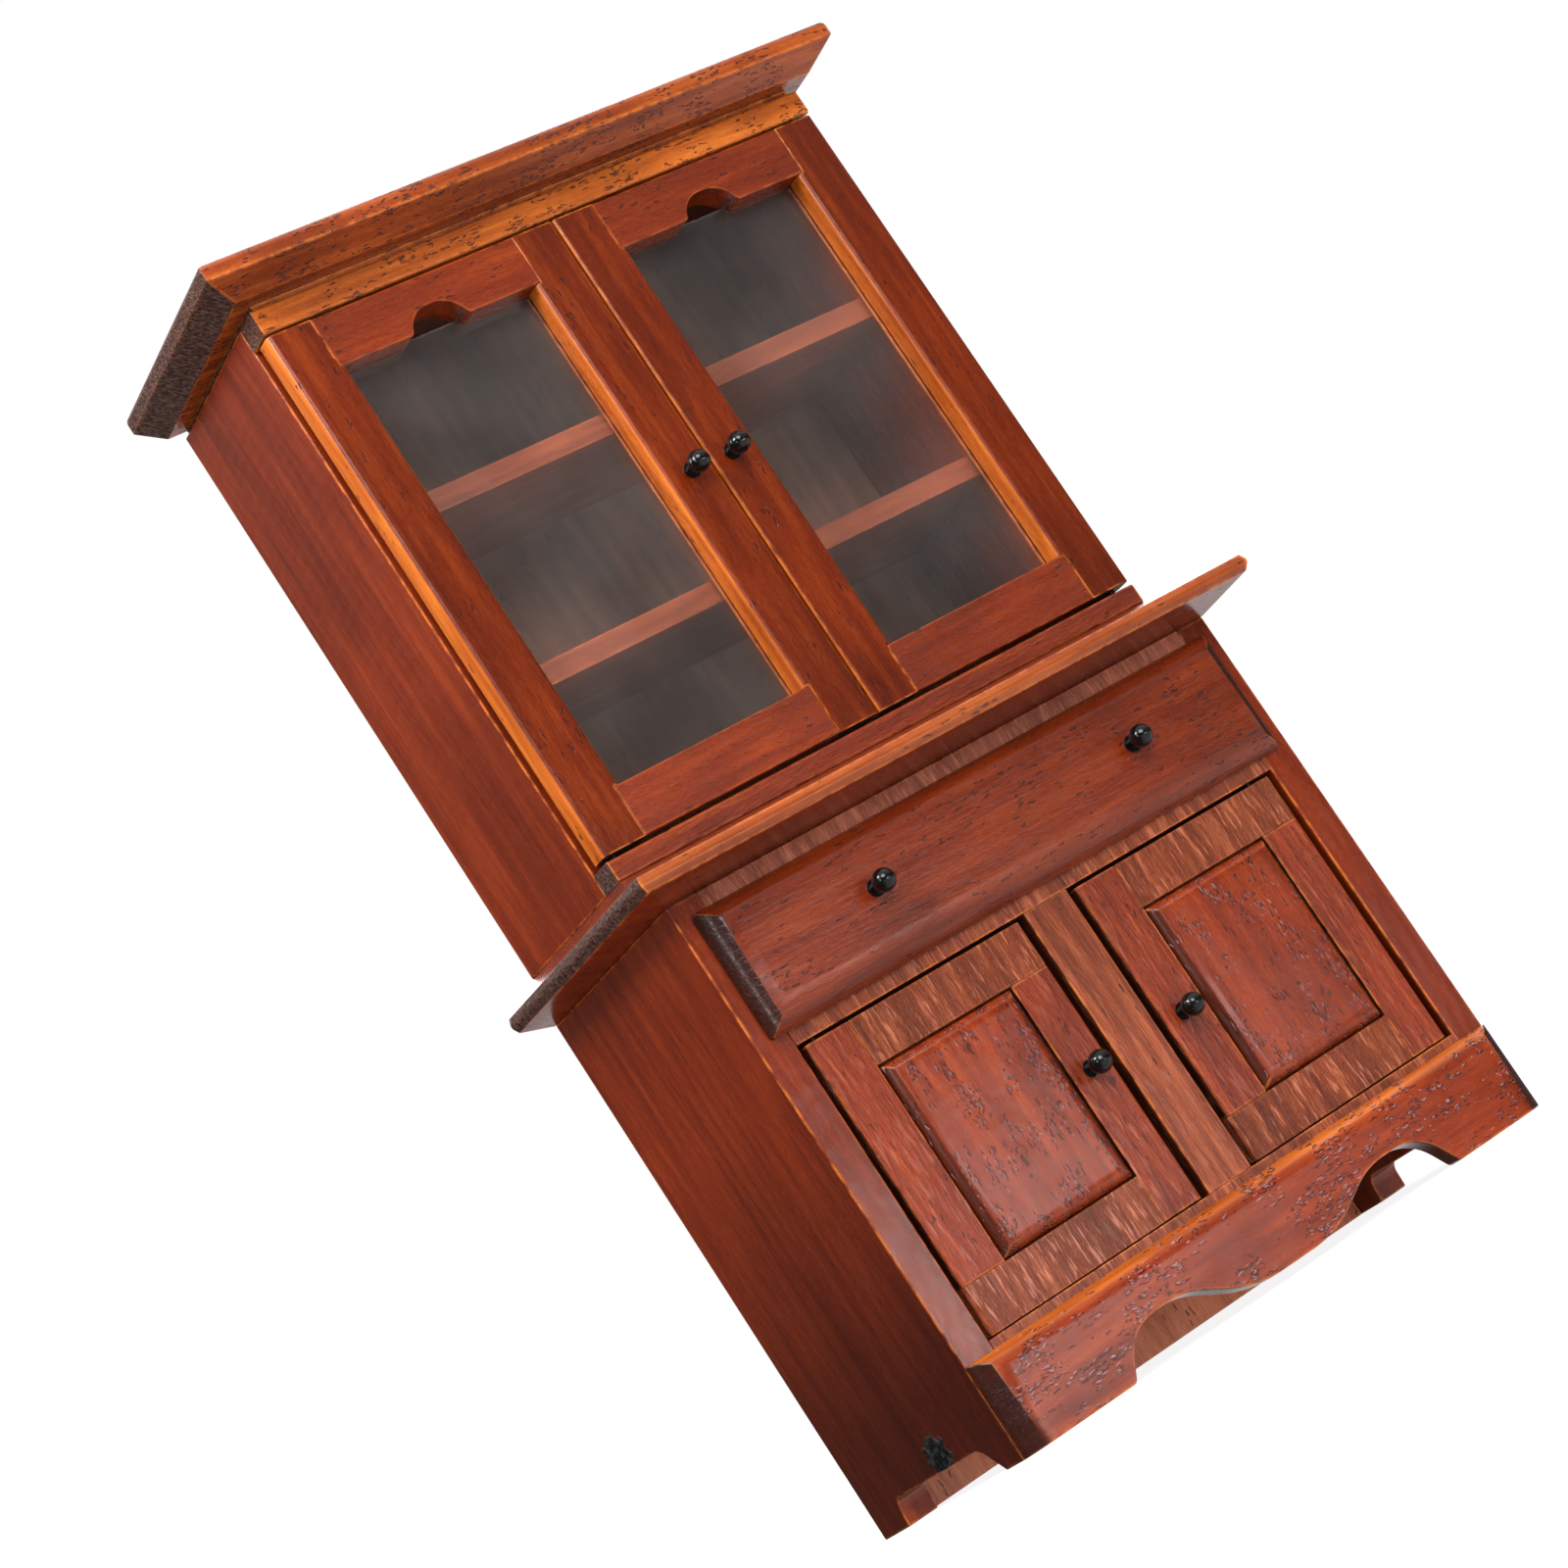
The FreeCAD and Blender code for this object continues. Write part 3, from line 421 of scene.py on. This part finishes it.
def acrylic(name, seed):
    """Clear sheet with faint haze and dust specks.  Lamps reach what is behind it."""
    tree = Tree(bpy.data.materials.new(name))
    point = grain_coordinates(tree, "Z", seed)[0]
    speck = tree.span(tree.noise(point, 2.6, 1.0), 0.765, 0.79)
    haze = tree.span(tree.noise(point, 0.055, 3.0), 0.32, 0.66)
    hazed = tree.mix(haze, srgb(206, 200, 196), srgb(234, 230, 226))
    tree.put(tree.shader.inputs["Base Color"], tree.mix(speck, hazed, srgb(255, 250, 240)))
    tree.put(tree.shader.inputs["Roughness"], tree.span(haze, 0.0, 1.0, 0.02, 0.07))
    tree.shader.inputs["Transmission Weight"].default_value = 0.985
    tree.shader.inputs["IOR"].default_value = 1.49
    clear = tree.nodes.new("ShaderNodeBsdfTransparent")
    path = tree.nodes.new("ShaderNodeLightPath")
    both = tree.nodes.new("ShaderNodeMixShader")
    tree.put(both.inputs[0], path.outputs["Is Shadow Ray"])
    tree.put(both.inputs[1], tree.shader.outputs[0])
    tree.put(both.inputs[2], clear.outputs[0])
    tree.put(tree.nodes["Material Output"].inputs["Surface"], both.outputs[0])
    return tree.owner


# ---- Finishes of the CAD nodes ------------------------------------------------------

# No face counts as end grain.
NO_END = (2.0, 3.0)
# Faces with another tone, the wood's own on some and painted shade and painted light on others:
# axis, where it starts and is full, strength, tone.
REAR = ("+Y", 0.5, 0.9, 1.0, "raw")
ROUTED = ("Z", 0.25, 0.75, 0.85, "orange")
# Lighter on the windows' side faces: partly thinner stain, partly painted light.
WINDOW_SIDES_LIT = ("X", 0.5, 0.9, 0.9, "orange")
# Painted shade on the side faces in the gaps beside the stiles.
GAP_SIDES_SHADE = ("X", 0.7, 0.95, 0.95, "dark")
# Painted highlight along the countertop's nose.
NOSE_HIGHLIGHT = ("Y", 0.62, 0.80, 0.38, "orange")
# Painted shade on the flanks of the raised panels.
PANEL_FLANKS_SHADE = ("X", 0.2, 0.6, 0.8, "dark")
# Black paint on the left side panel, beside its arch.
CHIP = ((-44.75 * MM, 0.2 * MM, 5.2 * MM), 2.7 * MM)

FINISH = {
    "lower_side": dict(grain="Z", tone="side", pores=0, saw=0.5, gloss=0.2, foot_shade=0.45),
    "lower_side_left": dict(
        grain="Z", tone="side", pores=0, saw=0.5, gloss=0.2, foot_shade=0.3, chip=CHIP),
    "lower_bottom_board": dict(
        grain="Z", tone="rough", pores=0, ridges=0.6, gloss=0.36, end=NO_END),
    "drawer_divider": dict(
        grain="Z", tone="rough", pores=0, ridges=0.6, gloss=0.36, end=NO_END),
    "lower_top_board": dict(
        grain="Z", tone="sawn", pores=0, ridges=0.7, gloss=0.34, wear_and_highlight=0.3, end=NO_END),
    "lower_back_panel": dict(
        grain="Z", tone="raw", pores=0.1, ridges=0.4, gloss=0.6, wear_and_highlight=0.2),
    "centre_stile": dict(
        grain="Z", tone="rough", pores=0.1, ridges=0.3, gloss=0.28, facing_tone_and_shading=GAP_SIDES_SHADE),
    "apron": dict(
        grain="X", tone="panel", pores=1.0, painted_glint=0.6, gloss=0.2,
        end=(0.06, 0.40), crust=0.05, facing_tone_and_shading=ROUTED),
    "countertop": dict(
        grain="X", tone="side", pores=0.1, gloss=0.2,
        end=(0.5, 0.8), crust=0.5, rim=0.8, facing_tone_and_shading=NOSE_HIGHLIGHT),
    "upper_side": dict(grain="Z", tone="side", pores=0, saw=0.5, gloss=0.22),
    "upper_bottom_board": dict(grain="X", tone="inner", pores=0.1),
    "upper_top_board": dict(grain="X", tone="inner", pores=0.1),
    "shelf": dict(grain="X", tone="shelf", pores=0, ridges=0.1, gloss=0.42, wear_and_highlight=0.3),
    "upper_back_panel": dict(
        grain="Z", tone="inner", pores=0.1, gloss=0.5, wear_and_highlight=0.2, facing_tone_and_shading=REAR),
    "upper_bottom_rail": dict(grain="X", tone="door", pores=0.1, ridges=0.25, gloss=0.26),
    "frieze_rail": dict(grain="X", tone="orange", pores=0.8, ridges=0.1, gloss=0.28),
    "cornice": dict(
        grain="X", tone="cornice", pores=0.75, painted_glint=0.1, gloss=0.22,
        end=(0.38, 0.5), rim=0.8),
    "glazed_rail": dict(
        grain="X", tone="door", ridges=0.12, pores=0.12, gloss=0.26, wear_and_highlight=0.35),
    "glazed_stile": dict(grain="Z", tone="stile", pores=0.08, gloss=0.24, facing_tone_and_shading=WINDOW_SIDES_LIT),
    "panelled_rail": dict(
        grain="Z", tone="rough", pores=0, ridges=0.9, gloss=0.26, wear_and_highlight=0.4),
    "panelled_stile": dict(
        grain="Z", tone="panel", pores=0.15, ridges=0.35, gloss=0.26, facing_tone_and_shading=GAP_SIDES_SHADE),
    "panel": dict(
        grain="Z", tone="panel", pores=1.0, painted_glint=0.4, gloss=0.22,
        facing_tone_and_shading=PANEL_FLANKS_SHADE, end=NO_END),
    "drawer_front": dict(
        grain="X", tone="drawer", pores=0.22, ridges=0.08, gloss=0.2,
        end=(0.06, 0.35), crust=0.03, rim=0.3),
    "drawer_side": dict(
        grain="Y", tone="inner", pores=0.1, ridges=0.3, gloss=0.55, wear_and_highlight=0.2),
    "drawer_box": dict(
        grain="X", tone="inner", pores=0.1, ridges=0.3, gloss=0.55, wear_and_highlight=0.2),
}


def finish_of(node):
    """The FINISH that a wooden node takes."""
    if node.startswith("glazed"):
        return "glazed_rail" if node.endswith("rail") else "glazed_stile"
    if node.startswith("panelled"):
        if node.endswith("panel"):
            return "panel"
        return "panelled_rail" if node.endswith("rail") else "panelled_stile"
    if node in FINISH:
        return node
    for prefix in ("lower_side", "upper_side", "shelf", "drawer_side"):
        if node.startswith(prefix):
            return prefix
    return "drawer_box"


# The wood's sharp edges are rounded this far, and corners closer than WELD are joined.
EASE = 0.18 * MM
WELD = 0.05 * MM
FLAT_ANGLE = 0.6
SHARP_ANGLE = 38


def eased(node):
    """Joins the imported corners and rounds the wood's sharp edges."""
    weld = node.modifiers.new("weld", "WELD")
    weld.merge_threshold = WELD
    flat = node.modifiers.new("flat", "DECIMATE")
    flat.decimate_type = "DISSOLVE"
    flat.angle_limit = math.radians(FLAT_ANGLE)
    bevel = node.modifiers.new("ease", "BEVEL")
    bevel.width = EASE
    bevel.segments = 3
    bevel.limit_method = "ANGLE"
    bevel.angle_limit = math.radians(SHARP_ANGLE)
    bevel.harden_normals = False
    normals = node.modifiers.new("normals", "WEIGHTED_NORMAL")
    normals.weight = 60


for seed, name in enumerate(sorted(nodes)):
    node = nodes[name]
    if name.endswith("pane"):
        material = acrylic("acrylic_" + name, seed)
    elif "knob" in name:
        material = black_gloss("lacquer_" + name, seed)
    elif name.endswith("pins"):
        material = wire("wire_" + name)
    else:
        material = wood("wood_" + name, seed=seed, **FINISH[finish_of(name)])
        eased(node)
    node.material_slots[0].material = material

# ---- Floor --------------------------------------------------------------------------

FLOOR_REACH = 6.0
FLOOR_GREY = (0.12, 0.12, 0.12, 1.0)
FLOOR_GLOW = 0.88
FLOOR_ROUGHNESS = 0.9


def floor_paint():
    """Pale matt paint that gives off some light."""
    tree = Tree(bpy.data.materials.new("floor_paint"))
    tree.shader.inputs["Base Color"].default_value = FLOOR_GREY
    tree.shader.inputs["Emission Color"].default_value = (1.0, 1.0, 1.0, 1.0)
    tree.shader.inputs["Emission Strength"].default_value = FLOOR_GLOW
    tree.shader.inputs["Roughness"].default_value = FLOOR_ROUGHNESS
    return tree.owner


def make_floor():
    mesh = bpy.data.meshes.new("floor")
    signs = ((-1, -1), (1, -1), (1, 1), (-1, 1))
    corners = [(x * FLOOR_REACH, y * FLOOR_REACH, 0) for x, y in signs]
    mesh.from_pydata(corners, [], [(0, 1, 2, 3)])
    mesh.materials.append(floor_paint())
    floor = bpy.data.objects.new("floor", mesh)
    bpy.context.scene.collection.objects.link(floor)
    floor.visible_glossy = False
    return floor


floor = make_floor()

# ---- Light --------------------------------------------------------------------------

# The world is dim at the horizon and bright overhead.  Below the horizon it glows
# again at the front, and the camera sees it white.
DOME_HORIZON = 0.07
DOME_TOP = 1.2
DOME_SPAN = (0.1, 0.9)
UNDER_SPAN = (-0.02, -0.25)
UNDER_GLOW = 0.9
FRONT_SPAN = (-0.5, 0.1)
FRONT_TURN = -0.5
CENTRE = (0.0, 0.0, 0.085)


def make_world():
    tree = Tree(bpy.data.worlds.new("studio"))
    look = tree.split(tree.coordinates("Generated"))
    dome = tree.span(look["Z"], *DOME_SPAN, DOME_HORIZON, DOME_TOP)
    below = tree.span(look["Z"], *UNDER_SPAN, 0.0, UNDER_GLOW, "LINEAR")
    toward = tree.math("MULTIPLY_ADD", look["Y"], FRONT_TURN, look["X"])
    front = tree.span(toward, *FRONT_SPAN, shape="LINEAR")
    light = tree.math("MULTIPLY_ADD", below, front, dome)
    white = tree.nodes.new("ShaderNodeMix")
    path = tree.nodes.new("ShaderNodeLightPath")
    tree.put(white.inputs["Factor"], path.outputs["Is Camera Ray"])
    tree.put(white.inputs[2], light)
    white.inputs[3].default_value = 1.0
    background = tree.nodes["Background"]
    tree.put(background.inputs["Strength"], white.outputs[0])
    background.inputs["Color"].default_value = (1.0, 1.0, 1.0, 1.0)
    return tree.owner


def key_light(direction, strength, angle):
    """A sun that shines along the direction, as soft as its angle in degrees."""
    sun = bpy.data.lights.new("key", "SUN")
    sun.energy = strength
    sun.angle = math.radians(angle)
    key = bpy.data.objects.new("key", sun)
    bpy.context.scene.collection.objects.link(key)
    key.rotation_euler = Vector(direction).to_track_quat("-Z", "Y").to_euler()


def softbox(name, place, target, size, watts, spread=180):
    """A rectangular lamp that faces the target, with its spread in degrees."""
    light = bpy.data.lights.new(name, "AREA")
    light.shape = "RECTANGLE"
    light.size, light.size_y = size
    light.energy = watts
    light.spread = math.radians(spread)
    lamp = bpy.data.objects.new(name, light)
    bpy.context.scene.collection.objects.link(lamp)
    lamp.location = place
    lamp.rotation_euler = (Vector(target) - Vector(place)).to_track_quat("-Z", "Y").to_euler()


bpy.context.scene.world = make_world()
key_light((0.20, 0.84, -0.52), 2.6, 32)
softbox("side", (-0.22, -0.10, 0.28), (-0.044, 0.0, 0.13), (0.10, 0.10), 0.2, spread=80)
softbox("left_strip", (-0.48, -0.30, 0.15), (-0.04, 0.0, 0.07), (0.05, 0.12), 0.28)
softbox("low_front", (0.16, -0.55, 0.022), (-0.01, 0.0, 0.012), (0.34, 0.05), 0.62)
softbox("back", (0.45, 0.75, 0.45), CENTRE, (0.6, 0.6), 4.0)

# ---- Camera -------------------------------------------------------------------------

CAMERA_PLACE = Vector((-0.25521, -0.39014, 0.01438))
CAMERA_FORWARD = Vector((0.5232927, 0.8388486, 0.1499924))
CAMERA_UP = Vector((0.4011108, -0.3977670, 0.8251615))
CAMERA_LENS = 85.93
CAMERA_NEAR = 0.01
SENSOR = 36.0


def make_camera():
    camera = bpy.data.cameras.new("camera")
    camera.lens = CAMERA_LENS
    camera.sensor_width = SENSOR
    camera.clip_start = CAMERA_NEAR
    viewpoint = bpy.data.objects.new("camera", camera)
    bpy.context.scene.collection.objects.link(viewpoint)
    forward = CAMERA_FORWARD.normalized()
    right = forward.cross(CAMERA_UP).normalized()
    up = right.cross(forward)
    turn = Matrix((right, up, -forward)).transposed().to_4x4()
    viewpoint.matrix_world = Matrix.Translation(CAMERA_PLACE) @ turn
    return viewpoint


bpy.context.scene.camera = make_camera()
bpy.context.scene.view_settings.view_transform = "Standard"
